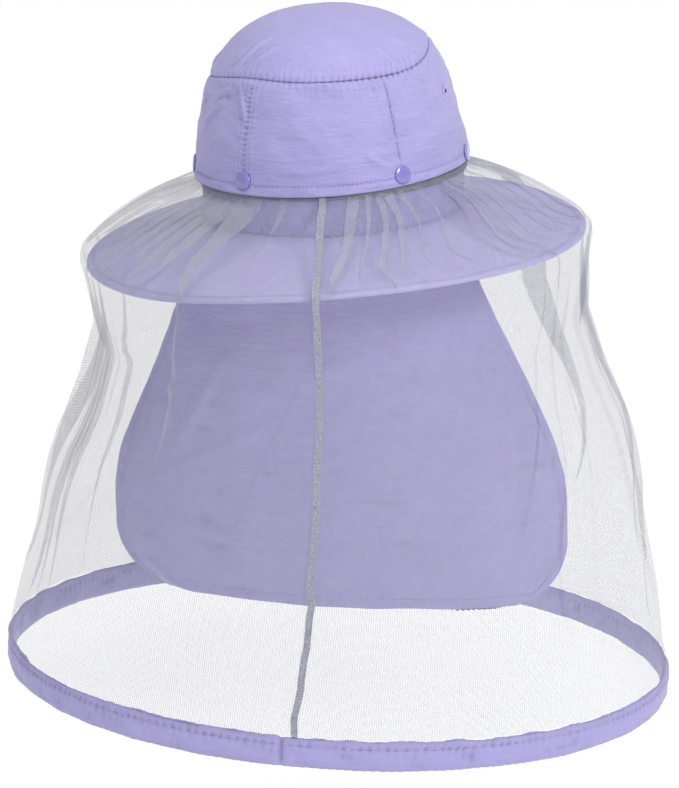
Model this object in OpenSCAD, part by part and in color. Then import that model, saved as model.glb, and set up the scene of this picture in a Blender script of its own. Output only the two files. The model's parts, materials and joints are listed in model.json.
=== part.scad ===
// Beekeeping veil: a brimmed fabric hat with a lift-up net veil, a neck flap and a crown cover held by snaps.
// The wearer faces +Y. The origin is the centre of the head opening, in the plane of the brim's root seam.

/* [Head fit] */
// Half width of the crown at the brim seam, ear to ear
crown_half_width = 89.2; // [84:0.1:96]
// Front-to-back length of every hat ring over its width
oval = 1.12; // [1.05:0.01:1.2]

/* [Crown] */
// Height of the crown's top above the brim seam
crown_height = 136; // [130:1:144]
// Height of the seam between the crown's side and its top
tip_seam_z = 99; // [95:1:103]
// Half width of the crown at that seam
tip_half_width = 76; // [73:1:79]
// Height of the crown cover's lower edge
cover_edge_z = 28; // [26:1:30]
// Half width of the crown cover at its lower edge
cover_half_width = 93.3; // [93:0.1:96]
// Thickness of the outer crown cover
cover_thick = 0.8; // [0.5:0.1:1]
// Thickness of the inner crown
lining_thick = 1.2; // [0.8:0.1:1.4]
// Gap between the inner crown and the cover at the top seam
tip_gap = 0.8; // [0.6:0.1:1]
// Height of the sweatband
sweatband_height = 26.5; // [22:0.5:28]
// Thickness of the sweatband
sweatband_thick = 1.2; // [0.8:0.1:1.6]

/* [Snaps] */
// Height of the snaps above the brim seam
snap_z = 36; // [35:0.5:40]
// Angle of the back snaps and seams from the centre back
back_seam_angle = 34; // [28:1:40]
// Angle of the side snaps from the centre back
side_snap_angle = 80; // [70:1:95]
// Angle of the front snaps and seams from the centre back
front_seam_angle = 146; // [140:1:152]
// Diameter of a snap's domed cap
cap_d = 12; // [10:0.5:13]
// Diameter of a snap's socket and of its stud's flange
socket_d = 10; // [8:0.5:11]
// Diameter of a snap's stud
stud_d = 3.6; // [3:0.1:4]
// Diameter of the rivet shank that goes through the fabric
shank_d = 2.4; // [2:0.1:2.6]

/* [Eyelets] */
// Height of the sewn ventilation eyelets
eyelet_z = 80; // [74:1:86]
// Outer diameter of an eyelet's stitched ring
eyelet_d = 8; // [6:0.5:9]
// Diameter of an eyelet's hole
eyelet_hole_d = 4; // [3:0.5:5]

/* [Brim] */
// Half width of the brim at its edge
brim_half_width = 169.9; // [160:0.1:171]
// How far the brim's edge lies below its root
brim_drop = 16.5; // [10:0.5:20]
// Thickness of each fabric face of the brim
brim_face = 0.8; // [0.5:0.1:1]
// Thickness of the stiffening layer inside the brim
brim_core = 1.6; // [1:0.1:2]

/* [Veil] */
// Thickness of the gathered net
net_thick = 1; // [0.6:0.1:1.2]
// Height of the hem casing's upper edge at the middle
hem_z = -313; // [-340:1:-300]
// Half width of the hem
hem_half_width = 234; // [220:1:245]
// Half depth of the hem, front to back
hem_half_depth = 188.5; // [186:0.5:200]
// Height of the hem casing
hem_height = 21; // [18:0.5:25]
// Thickness of the hem casing with its elastic
hem_thick = 5; // [4:0.5:6]
// Angle by which the hem hangs lower on the +X side
veil_tilt = 5.6; // [0:0.1:7]
// How far the hem hangs towards -X
veil_shift = 13.4; // [0:0.1:15]
// Width of the net's back seam
net_seam_width = 7; // [5:0.5:9]
// Angle by which the back seam wanders towards -X at the hem
seam_wander = 4.3; // [0:0.1:6]

/* [Neck flap] */
// Length of the neck flap from the brim seam to its lower edge
flap_length = 242; // [220:1:250]
// Half width of the flap where it is widest
flap_half_width = 156; // [140:1:160]
// How far behind the origin the flap's lower edge hangs
flap_back_depth = 118; // [112:1:122]
// Radius of the flap's lower corners
flap_corner = 40; // [25:1:48]
// Thickness of the flap
flap_thick = 1; // [0.8:0.1:1.4]
// Angle by which the flap's lower edge hangs lower on the +X side
flap_tilt = 4.8; // [0:0.1:6]

/* [Hidden] */
$fn = 96;

lavender = [0.62, 0.58, 0.87];
snap_violet = [0.50, 0.46, 0.84];
pale_lining = [0.72, 0.69, 0.90];
net_grey = [0.68, 0.68, 0.70];

// Snap angles from the centre back, towards +X
snap_angles = [
    -back_seam_angle, back_seam_angle,
    side_snap_angle, front_seam_angle,
    -front_seam_angle, -side_snap_angle
];
eyelet_angles = [-108, -72, 72, 108];

// Points along a cubic Bezier curve
function curve(a, b, c, d, steps) = [for (i = [0:steps])
    let (t = i / steps, s = 1 - t) s * s * s * a + 3 * s * s * t * b + 3 * s * t * t * c + t * t * t * d];

// A wall of thickness t inside the line path, which runs upwards or inwards
function along(path, i) = path[min(i + 1, len(path) - 1)] - path[max(i - 1, 0)];
function inside(path, i, t) = let (d = along(path, i) / norm(along(path, i)))
    [max(0, path[i][0] - t * d[1]), path[i][1] + t * d[0]];
function wall(path, t) = concat(path, [for (i = [len(path) - 1:-1:0]) inside(path, i, t)]);

// Crown lines, each as [half width, height]
crown_steps = 10;
seam_gap = 0.3;
cover_side = curve([cover_half_width, cover_edge_z], [cover_half_width - 1.8, cover_edge_z + 17],
    [tip_half_width + 9.5, tip_seam_z - 17], [tip_half_width, tip_seam_z], crown_steps);
cover_top = curve([tip_half_width, tip_seam_z + seam_gap], [tip_half_width - 7, tip_seam_z + 14.5],
    [tip_half_width * 0.66, crown_height - 0.5], [0, crown_height], crown_steps);
lining_tip = [tip_half_width - cover_thick - tip_gap, tip_seam_z - 2];
lining_top_z = crown_height - 3;
lining_side = concat([[crown_half_width, 0]], curve([crown_half_width, cover_edge_z],
    [crown_half_width - 2, cover_edge_z + 18], [lining_tip[0] + 8.4, lining_tip[1] - 17], lining_tip,
    crown_steps));
lining_top = curve(lining_tip + [0, seam_gap], lining_tip + [-7, 14.5],
    [lining_tip[0] * 0.66, lining_top_z - 0.5], [0, lining_top_z], crown_steps);
function width_at(line, z) = lookup(z, [for (p = line) [p[1], p[0]]]);

// A closed ring or a part of one, stretched front to back; angles count from the centre back
module oval_ring(from = -180, to = 180, arcs = 1) {
    arc = (to - from) / arcs;
    scale([1, oval, 1]) for (i = [0:arcs - 1])
        rotate([0, 0, from - 90 + i * arc]) rotate_extrude(angle = arc) children();
}

// Places children on a crown line at an angle from the centre back, with +Z straight out of the fabric
module on_crown(line, angle, z) {
    half_width = width_at(line, z);
    slope = width_at(line, z - 2) - width_at(line, z + 2);
    lean = atan(slope / 4);
    facing = atan2(-cos(angle) / oval, sin(angle));
    translate([half_width * sin(angle), -oval * half_width * cos(angle), z])
        rotate([0, 90 - lean, facing]) children();
}

// A tube along +Z from low to high
module tube(low, high, d, hole_d) translate([0, 0, low]) difference() {
    cylinder(h = high - low, d = d);
    translate([0, 0, -1]) cylinder(h = high - low + 2, d = hole_d);
}

// Crown
hole_slack = 0.6;
module on_snap(i) on_crown(cover_side, snap_angles[i - 1], snap_z) children();
module snap_holes(low, high) for (i = [1:6]) on_snap(i)
    translate([0, 0, low]) cylinder(h = high - low, d = shank_d + hole_slack);
module eyelet_holes() for (a = eyelet_angles)
    on_crown(cover_side, a, eyelet_z) cylinder(h = 6, d = eyelet_hole_d, center = true);
module cover_panel(from, to) color(lavender) difference() {
    oval_ring(from, to) polygon(wall(cover_side, cover_thick));
    snap_holes(-3, 3);
    eyelet_holes();
}
module cover_top_panel() color(lavender) oval_ring(arcs = 4)
    polygon(wall(cover_top, cover_thick));
module cover_back_panel() cover_panel(-back_seam_angle, back_seam_angle);
module cover_right_panel() cover_panel(back_seam_angle, front_seam_angle);
module cover_front_panel() cover_panel(front_seam_angle, 360 - front_seam_angle);
module cover_left_panel() cover_panel(-front_seam_angle, -back_seam_angle);
module inner_crown_top() color(pale_lining) oval_ring(arcs = 4)
    polygon(wall(lining_top, lining_thick));
module inner_panel(from, to) color(lavender) difference() {
    oval_ring(from, to) polygon(wall(lining_side, lining_thick));
    snap_holes(-9, -2);
}
module inner_back_panel() inner_panel(-back_seam_angle, back_seam_angle);
module inner_right_panel() inner_panel(back_seam_angle, front_seam_angle);
module inner_front_panel() inner_panel(front_seam_angle, 360 - front_seam_angle);
module inner_left_panel() inner_panel(-front_seam_angle, -back_seam_angle);
module sweatband() color(pale_lining) oval_ring()
    translate([crown_half_width - lining_thick - 0.6 - sweatband_thick, 0.5])
        square([sweatband_thick, sweatband_height]);
module vent_eyelets() color(lavender) for (a = eyelet_angles)
    on_crown(cover_side, a, eyelet_z) tube(0.1, 0.9, eyelet_d, eyelet_hole_d);

// Brim: a stiffening layer between two fabric faces, each sewn from a back and a front half
brim_root = crown_half_width - lining_thick - 0.2;
brim_top_z = -0.2;
function brim_z(r) = brim_top_z - brim_drop * (r - brim_root) / (brim_half_width - brim_root);
module brim_half(from, depth, thick, edge) oval_ring(from, from + 180) polygon([
    [brim_root, brim_z(brim_root) - depth], [edge, brim_z(edge) - depth],
    [edge, brim_z(edge) - depth - thick], [brim_root, brim_z(brim_root) - depth - thick]
]);
module brim_upper(from) color(lavender) brim_half(from, 0, brim_face, brim_half_width);
module brim_interlining(from) color(pale_lining) brim_half(from, brim_face, brim_core, brim_half_width - 1);
module brim_lower(from) color(lavender) brim_half(from, brim_face + brim_core, brim_face, brim_half_width);

// Snaps: heights count outwards from the cover's outer face
cap_rise = 2.1;
cover_clearance = 0.3;
socket_top = -cover_thick - cover_clearance;
socket_bottom = socket_top - 1.4;
function layer_gap(angle) = (width_at(cover_side, snap_z) - width_at(lining_side, snap_z))
    / norm([sin(angle), cos(angle) / oval]);
module snap_cap(i) color(snap_violet) on_snap(i) {
    rotate_extrude() polygon(concat([[0, cover_clearance], [cap_d / 2, cover_clearance]],
        [for (t = [0:10:90]) [cap_d / 2 * cos(t), 0.8 + (cap_rise - 0.8) * sin(t)]]));
    translate([0, 0, socket_top - 0.4]) cylinder(h = cover_clearance - socket_top + 0.4, d = shank_d);
}
module snap_socket(i) color(snap_violet) on_snap(i) difference() {
    translate([0, 0, socket_bottom]) cylinder(h = socket_top - socket_bottom, d = socket_d);
    translate([0, 0, socket_top - 0.4]) cylinder(h = 1, d = shank_d + 0.1);
    translate([0, 0, socket_bottom - 1]) cylinder(h = 2, d = stud_d + 0.1);
}
module snap_studs() color(snap_violet) for (i = [1:6]) {
    base = 0.15 - layer_gap(snap_angles[i - 1]);
    on_snap(i) {
        translate([0, 0, base]) cylinder(h = 0.6, d = socket_d);
        translate([0, 0, base]) cylinder(h = socket_bottom + 0.9 - base, d = stud_d);
        translate([0, 0, base - lining_thick - 1.1]) cylinder(h = lining_thick + 1.7, d = shank_d);
    }
}
module snap_rivets() color(snap_violet) for (i = [1:6]) {
    base = -layer_gap(snap_angles[i - 1]) - lining_thick;
    on_snap(i) tube(base - 0.95, base - 0.35, socket_d - 1, shank_d + 0.1);
}

// Veil: a binding under the cover, a yoke over the brim, a hanging skirt and an elastic hem
binding_low = cover_edge_z - 4.1;
skirt_top_z = -30;
yoke_line = concat([[crown_half_width + 1.6, binding_low - 0.3], [crown_half_width + 4.5, binding_low - 4.5]],
    curve([brim_half_width - 65, binding_low - 11], [brim_half_width - 45, 4],
        [brim_half_width - 20, -7], [brim_half_width - 2, 2.6 - brim_drop], 5),
    [[brim_half_width + 3, -brim_drop - 1], [brim_half_width + 3.5, -brim_drop - 8],
        [brim_half_width + 2.3, skirt_top_z]]);
function raised(path, h) = [for (i = [0:len(path) - 1])
    let (d = along(path, i) / norm(along(path, i))) path[i] + h * [-d[1], d[0]]];
module net_top_binding() color(net_grey) oval_ring()
    translate([crown_half_width + 0.4, binding_low]) square([1.8, 5.6]);
net_sides = 48;
function yoke_grid(out) = [for (p = raised(yoke_line, out))
    [for (i = [0:net_sides - 1]) let (a = i * 360 / net_sides - 180)
        [p[0] * sin(a), -oval * p[0] * cos(a), p[1]]]];
module net_yoke() color(net_grey, 0.5) sheet(yoke_grid(0), yoke_grid(-net_thick), true);

// Half width of the skirt by height, narrow under the brim and flared to the hem
skirt_width = [[skirt_top_z, brim_half_width + 2.1], [-80, 165], [-115, 176], [-150, 192],
    [-200, 208], [-250, 222], [hem_z, hem_half_width - 2.5]];
skirt_depth = [[skirt_top_z, oval * (brim_half_width + 2.1)], [-80, 184], [-150, 184],
    [hem_z, hem_half_depth - 2]];
skirt_rows = [for (i = [0:11]) let (top = skirt_top_z - 0.4, low = hem_z + 0.5) top + (low - top) * i / 11];
// How much of the hem's tilt and shift has been reached at height z, from 0 to 1
function sway(z) = pow((skirt_top_z - z) / (skirt_top_z - hem_z), 1.5);
function skirt_point(angle, z, out) =
    let (x = (lookup(z, skirt_width) + out) * sin(angle), y = -(lookup(z, skirt_depth) + out) * cos(angle))
    [x - veil_shift * sway(z), y, z - tan(veil_tilt) * sway(z) * x];

// A sheet with thickness between two grids of points, whose rows run down and columns towards +X
module sheet(outer, inner, closed = false) {
    rows = len(outer) - 1;
    cols = len(outer[0]);
    count = (rows + 1) * cols;
    spans = closed ? cols : cols - 1;
    function at(r, c) = r * cols + c % cols;
    faces = [for (r = [0:rows - 1], c = [0:spans - 1]) each
        [[at(r, c), at(r, c + 1), at(r + 1, c + 1)], [at(r, c), at(r + 1, c + 1), at(r + 1, c)]]];
    rear = [for (f = faces) [f[2] + count, f[1] + count, f[0] + count]];
    top = [for (c = [0:spans - 1]) [at(0, c + 1), at(0, c)]];
    bottom = [for (c = [0:spans - 1]) [at(rows, c), at(rows, c + 1)]];
    left = closed ? [] : [for (r = [0:rows - 1]) [at(r, 0), at(r + 1, 0)]];
    right = closed ? [] : [for (r = [0:rows - 1]) [at(r + 1, cols - 1), at(r, cols - 1)]];
    rim = [for (e = concat(top, bottom, left, right)) each
        [[e[0], e[1], e[1] + count], [e[0], e[1] + count, e[0] + count]]];
    polyhedron([for (row = concat(outer, inner)) each row], concat(faces, rear, rim));
}
function skirt_grid(out) = [for (z = skirt_rows)
    [for (i = [0:net_sides - 1]) skirt_point(i * 360 / net_sides - 180, z, out)]];
module net_skirt() color(net_grey, 0.5) sheet(skirt_grid(0), skirt_grid(-net_thick), true);

seam_thick = 0.8;
module net_back_seam_upper() color(net_grey) intersection() {
    oval_ring(-20, 20) polygon(concat(raised(yoke_line, 0.1),
        [for (i = [len(yoke_line) - 1:-1:0]) raised(yoke_line, 0.1 + seam_thick)[i]]));
    translate([-net_seam_width / 2, -oval * brim_half_width - 20, skirt_top_z - 1])
        cube([net_seam_width, oval * brim_half_width, 80]);
}
function seam_grid(out) = [for (z = skirt_rows) [for (side = [-1, 1])
    let (edge = side * asin(net_seam_width / 2 / lookup(z, skirt_width)))
    skirt_point(edge - seam_wander * pow(sway(z), 1.3), z, out)]];
module net_back_seam_lower() color(net_grey) sheet(seam_grid(0.1 + seam_thick), seam_grid(0.1));

hem_wall = 1.1;
module on_hem() translate([-veil_shift, 0, hem_z]) rotate([0, veil_tilt, 0])
    scale([1, hem_half_depth / hem_half_width, 1]) rotate_extrude() children();
module hem_band(inset) translate([hem_half_width - hem_thick + inset, -hem_height + inset])
    square([hem_thick - 2 * inset, hem_height - 2 * inset]);
module hem_casing() color(lavender) on_hem() difference() {
    hem_band(0);
    hem_band(hem_wall);
}
module hem_elastic() color("white") on_hem() hem_band(hem_wall + 0.3);

// Neck flap: hangs from the back of the brim seam, widening to its rounded lower corners
flap_top_z = -4.8;
flap_top_angle = 78;
flap_top_width = crown_half_width - 1.6;
flap_side_depth = 82;
flap_widest = 0.8;
flap_cols = 24;
function flap_width(v) = let (top = flap_top_width * sin(flap_top_angle))
    top + (flap_half_width - top) * sin(90 * min(1, v / flap_widest));
// Each row is [share of the length, half width]
flap_rows = concat(
    [for (i = [0:10]) let (v = i / 10 * (1 - flap_corner / flap_length)) [v, flap_width(v)]],
    [for (t = [15:15:90]) [1 - flap_corner * (1 - sin(t)) / flap_length,
        flap_half_width - flap_corner * (1 - cos(t))]]);
function flap_point(u, row, inset) =
    let (v = row[0], k = sqrt(v), turn = flap_top_angle * u,
        x = row[1] * (u * k + sin(turn) / sin(flap_top_angle) * (1 - k)),
        hanging = flap_back_depth - (flap_back_depth - flap_side_depth) * pow(x / flap_half_width, 2),
        y = -(hanging * k + oval * flap_top_width * cos(turn) * (1 - k)),
        inward = -[x, y] / norm([x, y]))
    [x + inset * inward[0], y + inset * inward[1],
        flap_top_z - v * flap_length - tan(flap_tilt) * x * v];
function flap_grid(inset) = [for (row = flap_rows)
    [for (i = [0:flap_cols]) flap_point(2 * i / flap_cols - 1, row, inset)]];
module neck_flap() color(lavender) sheet(flap_grid(0), flap_grid(flap_thick));

cover_top_panel();
cover_back_panel();
cover_front_panel();
cover_left_panel();
cover_right_panel();
inner_crown_top();
inner_back_panel();
inner_front_panel();
inner_left_panel();
inner_right_panel();
sweatband();
brim_upper(-90);  // brim_upper_back
brim_upper(90);  // brim_upper_front
brim_interlining(-90);  // brim_interlining_back
brim_interlining(90);  // brim_interlining_front
brim_lower(-90);  // brim_lower_back
brim_lower(90);  // brim_lower_front
neck_flap();
for (i = [1:6]) snap_cap(i);
for (i = [1:6]) snap_socket(i);
snap_studs();
snap_rivets();
vent_eyelets();
net_top_binding();
net_yoke();
net_skirt();
net_back_seam_upper();
net_back_seam_lower();
hem_casing();
hem_elastic();
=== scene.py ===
"""The looks of a beekeeping veil: a brimmed fabric hat with a gathered net, a neck flap and an elastic hem.

Lengths are in millimetres until a piece is built, and in metres in the materials and on the stage.
Angles count from the centre back towards +X.
"""

import json
import math

import bpy
import numpy as np
from mathutils import Matrix, Vector


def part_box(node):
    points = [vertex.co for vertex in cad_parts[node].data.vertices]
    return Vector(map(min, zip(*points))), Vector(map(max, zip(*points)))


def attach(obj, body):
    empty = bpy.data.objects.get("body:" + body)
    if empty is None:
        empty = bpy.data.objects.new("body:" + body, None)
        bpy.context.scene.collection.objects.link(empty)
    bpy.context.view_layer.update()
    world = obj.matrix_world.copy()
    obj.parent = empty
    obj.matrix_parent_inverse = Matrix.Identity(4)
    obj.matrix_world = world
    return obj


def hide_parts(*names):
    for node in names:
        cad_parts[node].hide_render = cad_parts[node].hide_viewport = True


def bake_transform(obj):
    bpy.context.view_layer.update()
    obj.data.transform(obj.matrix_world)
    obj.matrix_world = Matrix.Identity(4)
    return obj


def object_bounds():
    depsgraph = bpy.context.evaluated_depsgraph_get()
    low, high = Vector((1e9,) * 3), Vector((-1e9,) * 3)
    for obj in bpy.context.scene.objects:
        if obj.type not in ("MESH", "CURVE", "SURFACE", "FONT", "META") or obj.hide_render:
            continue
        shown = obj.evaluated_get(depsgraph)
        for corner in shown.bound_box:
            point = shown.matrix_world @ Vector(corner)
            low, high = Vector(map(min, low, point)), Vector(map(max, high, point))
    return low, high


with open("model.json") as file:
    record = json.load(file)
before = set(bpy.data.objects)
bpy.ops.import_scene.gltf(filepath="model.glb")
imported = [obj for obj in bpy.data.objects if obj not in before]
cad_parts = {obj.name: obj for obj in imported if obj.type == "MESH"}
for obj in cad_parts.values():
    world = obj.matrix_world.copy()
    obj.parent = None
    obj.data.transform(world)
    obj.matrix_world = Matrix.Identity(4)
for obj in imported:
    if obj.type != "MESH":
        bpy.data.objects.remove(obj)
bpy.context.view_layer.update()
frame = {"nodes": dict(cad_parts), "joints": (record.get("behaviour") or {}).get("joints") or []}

MM = 0.001
UP = np.array([0.0, 0.0, 1.0])


# Camera: behind the wearer, slightly above, with the long lens and small tilt of the view
def make_camera():
    turn, rise, roll = math.radians(4.5), math.radians(15.5), math.radians(-3)
    distance, target = 2.0, Vector((-0.0034, 0, -0.1334))
    back = Vector((math.sin(turn) * math.cos(rise), -math.cos(turn) * math.cos(rise), math.sin(rise)))
    data = bpy.data.cameras.new("camera")
    data.lens = 132.02
    data.sensor_width = 36
    camera = bpy.data.objects.new("camera", data)
    camera.location = target + back * distance
    look = (-back).to_track_quat("-Z", "Y").to_matrix().to_4x4()
    camera.rotation_euler = (look @ Matrix.Rotation(roll, 4, "Z")).to_euler()
    bpy.context.scene.collection.objects.link(camera)
    bpy.context.scene.camera = camera


make_camera()


# Sizes read from the frame, and plain numbers for what its boxes can't give
def box(node):
    low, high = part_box(node)
    return np.array(low) / MM, np.array(high) / MM


brim_low, brim_high = box("brim_upper_back")
tip_high = box("cover_top_panel")[1]
cover_low = box("cover_left_panel")[0]
lining_low = box("inner_left_panel")[0]
lining_top_high = box("inner_crown_top")[1]
band_low, band_high = box("sweatband")
binding_low, binding_high = box("net_top_binding")

OVAL = -brim_low[1] / brim_high[0]
# How many times longer the hat's oval is than a circle with its half width
OVAL_GIRTH = 1.06
BRIM_HALF_WIDTH = brim_high[0]
BRIM_DROP = 16.5
BRIM_TOP_Z = brim_high[2]
CROWN_HEIGHT = tip_high[2]
TIP_HALF_WIDTH = tip_high[0]
TIP_SEAM_Z = 99
COVER_EDGE_Z = cover_low[2]
COVER_HALF_WIDTH = -cover_low[0]
COVER_THICK = 0.8
LINING_HALF_WIDTH = -lining_low[0]
LINING_THICK = 1.2
LINING_TIP_WIDTH = lining_top_high[0]
SEAM_ANGLES = np.radians([-34, 34, 146, -146])
SNAP_ANGLES = np.radians([-34, 34, 80, 146, -146, -80])
EYELET_ANGLES = np.radians([-108, -72, 72, 108])
EYELET_Z = 80
EYELET_HOLE_RADIUS = 2.4
EYELET_RING_RADIUS = 2.9
SNAP_Z = 36

SKIRT_TOP_Z = -30
HEM_Z = -313
HEM_HALF_WIDTH = 234
HEM_HALF_DEPTH = 188.5
HEM_HEIGHT = 21
HEM_THICK = 5
HEM_STITCH = 5
VEIL_TILT = math.radians(5.6)
VEIL_SHIFT = 13.4
SEAM_WANDER = math.radians(4.3)
NET_SEAM_WIDTH = 4.4
NET_WIDTH = 1360

FLAP_TOP_Z = -4.8
FLAP_LENGTH = 242
FLAP_HALF_WIDTH = 156
FLAP_TOP_WIDTH = LINING_HALF_WIDTH - 1.6
FLAP_TOP_ANGLE = math.radians(78)
FLAP_WIDEST = 0.75
FLAP_SHIFT = 5
FLAP_CORNER = 40
FLAP_BACK_DEPTH = 118
FLAP_SIDE_DEPTH = 82
FLAP_TILT = math.radians(4.8)
FLAP_STITCH = 5.5

# Columns of the grids
COVER_COLS = 720
LINING_COLS = 480
BRIM_COLS = 900
FLAP_COLS = 241
NET_COLS = 1100
HEM_COLS = 1100
BAND_COLS = 720


# Number fields
def noise(x, y, seed, period=256):
    """Smooth noise from -1 to 1 with a grid step of 1, repeating every period in x."""
    table = np.random.default_rng(seed).uniform(-1, 1, (256, 256))
    x, y = np.broadcast_arrays(np.asarray(x, float), np.asarray(y, float))
    column, row = np.floor(x).astype(int), np.floor(y).astype(int)
    across, down = x - column, y - row
    across, down = across**2 * (3 - 2 * across), down**2 * (3 - 2 * down)
    left, right = column % period, (column + 1) % period
    top, bottom = row % 256, (row + 1) % 256
    upper = table[top, left] * (1 - across) + table[top, right] * across
    lower = table[bottom, left] * (1 - across) + table[bottom, right] * across
    return upper * (1 - down) + lower * down


def bell(distance, width):
    return np.exp(-((distance / width) ** 2))


def step(value, low, high):
    share = np.clip((value - low) / (high - low), 0, 1)
    return share * share * (3 - 2 * share)


def crease(x, y, start, end, width):
    """A ridge of height 1 along the line from start to end, fading at both ends."""
    (x0, y0), (x1, y1) = start, end
    length = math.hypot(x1 - x0, y1 - y0)
    along = ((x - x0) * (x1 - x0) + (y - y0) * (y1 - y0)) / length**2
    away = ((x - x0) * (y1 - y0) - (y - y0) * (x1 - x0)) / length
    inside = np.clip(along, 0, 1)
    return bell(away, width) * np.sin(math.pi * inside) ** 0.7


def add_creases(out, x, y, creases, width, gain=1):
    """Adds ridges to out; each crease is its start, its end and its height before the gain."""
    for start, end, height in creases:
        out = out + gain * height * crease(x, y, start, end, width)
    return out


def squared(value, power):
    """Makes a sine wave fuller, so that an oval drawn with it gets flatter sides."""
    return np.sign(value) * np.abs(value) ** power


def angle_gap(angle, other):
    return (angle - other + math.pi) % (2 * math.pi) - math.pi


# Lines and grids
def curve(a, b, c, d, steps):
    """Points along a cubic Bezier curve."""
    t = np.linspace(0, 1, steps + 1)[:, None]
    a, b, c, d = (np.array(p, float) for p in (a, b, c, d))
    return (1 - t) ** 3 * a + 3 * (1 - t) ** 2 * t * b + 3 * (1 - t) * t**2 * c + t**3 * d


def lengths(points):
    """How far along the line each of its points lies."""
    steps = np.linalg.norm(np.diff(points, axis=0), axis=1)
    return np.concatenate([[0], np.cumsum(steps)])


def evenly(points, count):
    """The line again, with count points the same distance apart."""
    along = lengths(points)
    wanted = np.linspace(0, along[-1], count)
    return np.stack([np.interp(wanted, along, points[:, k]) for k in range(points.shape[1])], -1)


def ring(half_width, angle, z):
    """Points on the hat's oval rings."""
    half_width, angle, z = np.broadcast_arrays(half_width, angle, z)
    return np.stack([half_width * np.sin(angle), -OVAL * half_width * np.cos(angle), z], -1)


def full_turn(count, start=-math.pi):
    return np.linspace(start, start + 2 * math.pi, count, endpoint=False)


def circle_round(axis, around):
    """Directions at right angles to an axis, one for each angle."""
    side = np.cross(UP, axis)
    side /= np.linalg.norm(side)
    upward = np.cross(axis, side)
    return np.cos(around)[:, None] * side + np.sin(around)[:, None] * upward


def on_grid(u, v):
    """Every pair of u and v: columns follow u and rows follow v."""
    return np.stack(np.broadcast_arrays(u[None, :], v[:, None]), -1)


def grid_normals(grid, closed, flip=False, closed_rows=False):
    """Normals of a grid of points whose columns run towards +X at the back and whose rows run up."""
    def change(values, axis, wraps):
        if wraps:
            return np.roll(values, -1, axis) - np.roll(values, 1, axis)
        return np.gradient(values, axis=axis)
    normal = np.cross(change(grid, 1, closed), change(grid, 0, closed_rows))
    normal /= np.maximum(np.linalg.norm(normal, axis=-1, keepdims=True), 1e-9)
    return -normal if flip else normal


def pattern(grid, closed, width=None):
    """UVs in millimetres of cloth: one more column than the grid where it closes."""
    rows, cols = grid.shape[:2]
    middle = grid[rows // 2]
    if width is None:
        width = lengths(np.vstack([middle, middle[:1]]) if closed else middle)[-1]
    u = np.linspace(0, width, cols + 1 if closed else cols)
    v = lengths(grid[:, cols // 2])
    return on_grid(u, v)


def sample(grid, row, col):
    """Points of a grid at fractional rows and columns; columns wrap."""
    row = np.clip(row, 0, len(grid) - 1.001)
    r, c = np.floor(row).astype(int), np.floor(col).astype(int)
    fr, fc = (row - r)[..., None], (col - c)[..., None]
    cols = grid.shape[1]
    low = grid[r, c % cols] * (1 - fc) + grid[r, (c + 1) % cols] * fc
    high = grid[r + 1, c % cols] * (1 - fc) + grid[r + 1, (c + 1) % cols] * fc
    return low * (1 - fr) + high * fr


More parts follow.
